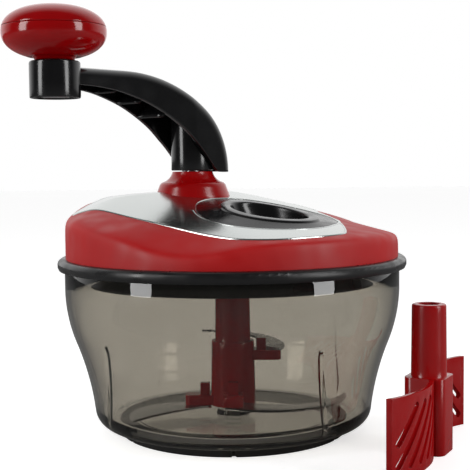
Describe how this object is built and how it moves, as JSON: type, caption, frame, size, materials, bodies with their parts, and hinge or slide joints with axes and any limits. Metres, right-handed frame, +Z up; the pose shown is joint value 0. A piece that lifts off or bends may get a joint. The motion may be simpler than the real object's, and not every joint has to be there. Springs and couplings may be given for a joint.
{
  "type": "crank food chopper",
  "caption": "Hand-cranked food chopper: clear bowl with curved blades on a centre shaft, geared domed lid with pour hole, and a slotted mixing paddle.",
  "frame": {"origin": "on the table under the centre of the bowl, on the axis of the bowl and blade shaft", "axes": "+Z up along the blade shaft, -Y towards the front of the picture, +X to the right"},
  "size_m": [0.2421, 0.2006, 0.2263],
  "materials": {
    "smoke_clear": "smoke-tinted clear moulded plastic",
    "black_rubber": "soft black rubber",
    "steel": "turned steel",
    "blade_steel": "ground stainless steel",
    "dark_red": "dark red moulded plastic",
    "black_gloss": "polished black moulded plastic",
    "grey_silicone": "translucent grey silicone",
    "red_gloss": "red moulded plastic, satin gloss",
    "chrome": "polished chrome plate",
    "white_nylon": "natural moulded nylon",
    "black_satin": "satin black moulded plastic"
  },
  "bodies": {
    "base": {"bowl": "smoke_clear", "base_ring": "black_rubber", "spindle": "steel"},
    "blades": {"blade_shaft": "dark_red", "blade_upper": "blade_steel", "blade_middle": "blade_steel", "blade_lower": "blade_steel"},
    "lid": {"lid_base": "black_gloss", "lid_seal": "grey_silicone", "lid_cover": "red_gloss", "trim_plate": "chrome", "pour_insert": "black_gloss", "lid_screws": "steel", "crank_collar": "red_gloss", "crank_bush": "white_nylon", "pinion_bush": "white_nylon"},
    "crank": {"crank_arm": "black_satin", "crank_shaft": "steel", "drive_gear": "white_nylon", "retaining_ring": "steel", "knob_axle": "steel", "knob_washer": "steel"},
    "pinion": {"pinion": "white_nylon"},
    "knob": {"knob_body": "red_gloss", "knob_cap": "red_gloss"},
    "paddle": {"mixing_paddle": "dark_red"}
  },
  "joints": [
    {"name": "lid_lift", "type": "slide", "parent": "base", "child": "lid", "axis": [0, 0, 1], "range_m": [0, 0.12]},
    {"name": "blade_turn", "type": "hinge", "parent": "base", "child": "blades", "pos_m": [0, 0, 0.05], "axis": [0, 0, 1], "continuous": true},
    {"name": "crank_turn", "type": "hinge", "parent": "lid", "child": "crank", "pos_m": [-0.02203, 0.02321, 0.12], "axis": [0, 0, 1], "continuous": true},
    {"name": "drive_turn", "type": "hinge", "parent": "lid", "child": "pinion", "pos_m": [0, 0, 0.095], "axis": [0, 0, 1], "continuous": true},
    {"name": "knob_spin", "type": "hinge", "parent": "crank", "child": "knob", "pos_m": [-0.08755, -0.04804, 0.2], "axis": [0, 0, 1], "continuous": true},
    {"name": "paddle_lift", "type": "slide", "parent": "base", "child": "paddle", "axis": [0, 0, 1], "range_m": [0, 0.1]}
  ],
  "couplings": [
    {"joint": "drive_turn", "follows": "crank_turn", "ratio": -3},
    {"joint": "blade_turn", "follows": "crank_turn", "ratio": -3}
  ]
}
